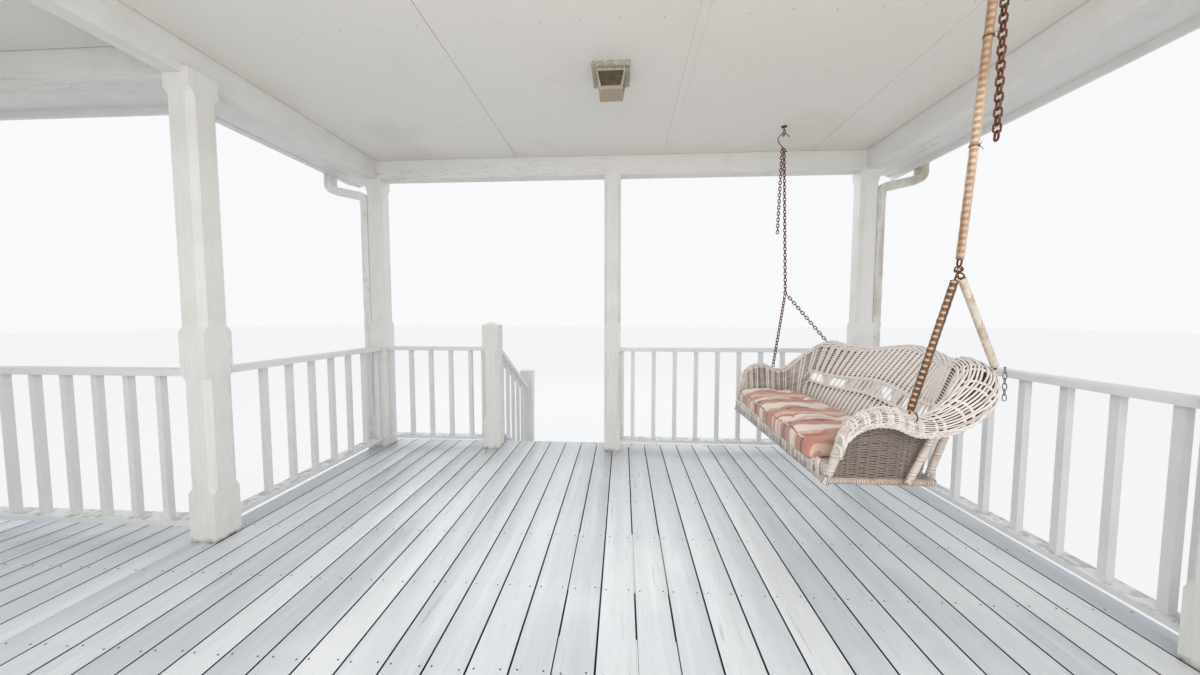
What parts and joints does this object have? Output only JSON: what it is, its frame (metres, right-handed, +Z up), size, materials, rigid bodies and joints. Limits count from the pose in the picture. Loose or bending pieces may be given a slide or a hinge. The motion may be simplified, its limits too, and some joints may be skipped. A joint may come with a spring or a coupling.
{
  "type": "front porch",
  "caption": "Covered timber front porch with a side wing, chamfered posts, baluster railings, front stair, gabled roof and a hanging wicker swing seat.",
  "frame": {"origin": "centre of the plan on the ground", "axes": "+Y away from the house towards the yard, +X to the right when looking out, +Z up"},
  "size_m": [7.71, 5.216, 4.3941],
  "materials": {
    "white_paint": "satin",
    "deck_paint": "satin",
    "bare_timber": "matte",
    "concrete": "matte",
    "shingles": "matte",
    "ceiling_paint": "matte",
    "white_metal": "satin",
    "aged_bronze": "matte",
    "amber_glass": "gloss",
    "bulb_glass": "gloss",
    "rusty_steel": "matte",
    "wicker": "satin",
    "cushion_cloth": "matte",
    "chain_sleeve": "satin"
  },
  "bodies": {
    "porch": {"piers": "concrete", "ledger": "bare_timber", "rim_boards": "white_paint", "floor_beams": "bare_timber", "floor_joists": "bare_timber", "deck": "deck_paint", "stair_stringers": "white_paint", "tread_top": "deck_paint", "tread_upper": "deck_paint", "tread_lower": "deck_paint", "tread_bottom": "deck_paint", "risers": "white_paint", "newel_upper": "white_paint", "newels_lower": "white_paint", "stair_rails": "white_paint", "posts_front": "white_paint", "posts_right": "white_paint", "posts_wing": "white_paint", "railing_front_left": "white_paint", "railing_front_right": "white_paint", "railing_right_front": "white_paint", "railing_right_back": "white_paint", "railing_left_side": "white_paint", "railing_wing_front": "white_paint", "railing_wing_end": "white_paint", "beams_front": "white_paint", "beams_side": "white_paint", "ceilings": "ceiling_paint", "roof_frame": "bare_timber", "roof_main": "shingles", "roof_wing": "shingles", "gables": "white_paint", "barge_boards": "white_paint", "eaves": "white_paint", "gutters": "white_metal", "downspouts": "white_metal", "light_housing": "aged_bronze", "light_glass": "amber_glass", "light_bulb": "bulb_glass", "swing_hooks": "rusty_steel"},
    "swing": {"swing_frame": "wicker", "swing_weave": "wicker", "swing_cushion": "cushion_cloth", "hanger_front": "chain_sleeve", "hanger_back": "chain_sleeve"}
  },
  "joints": [
    {"name": "swing_hinge", "type": "hinge", "parent": "porch", "child": "swing", "pos_m": [2.464, -0.033, 3.227], "axis": [0, 1, 0], "range_deg": [-10, 20]}
  ]
}
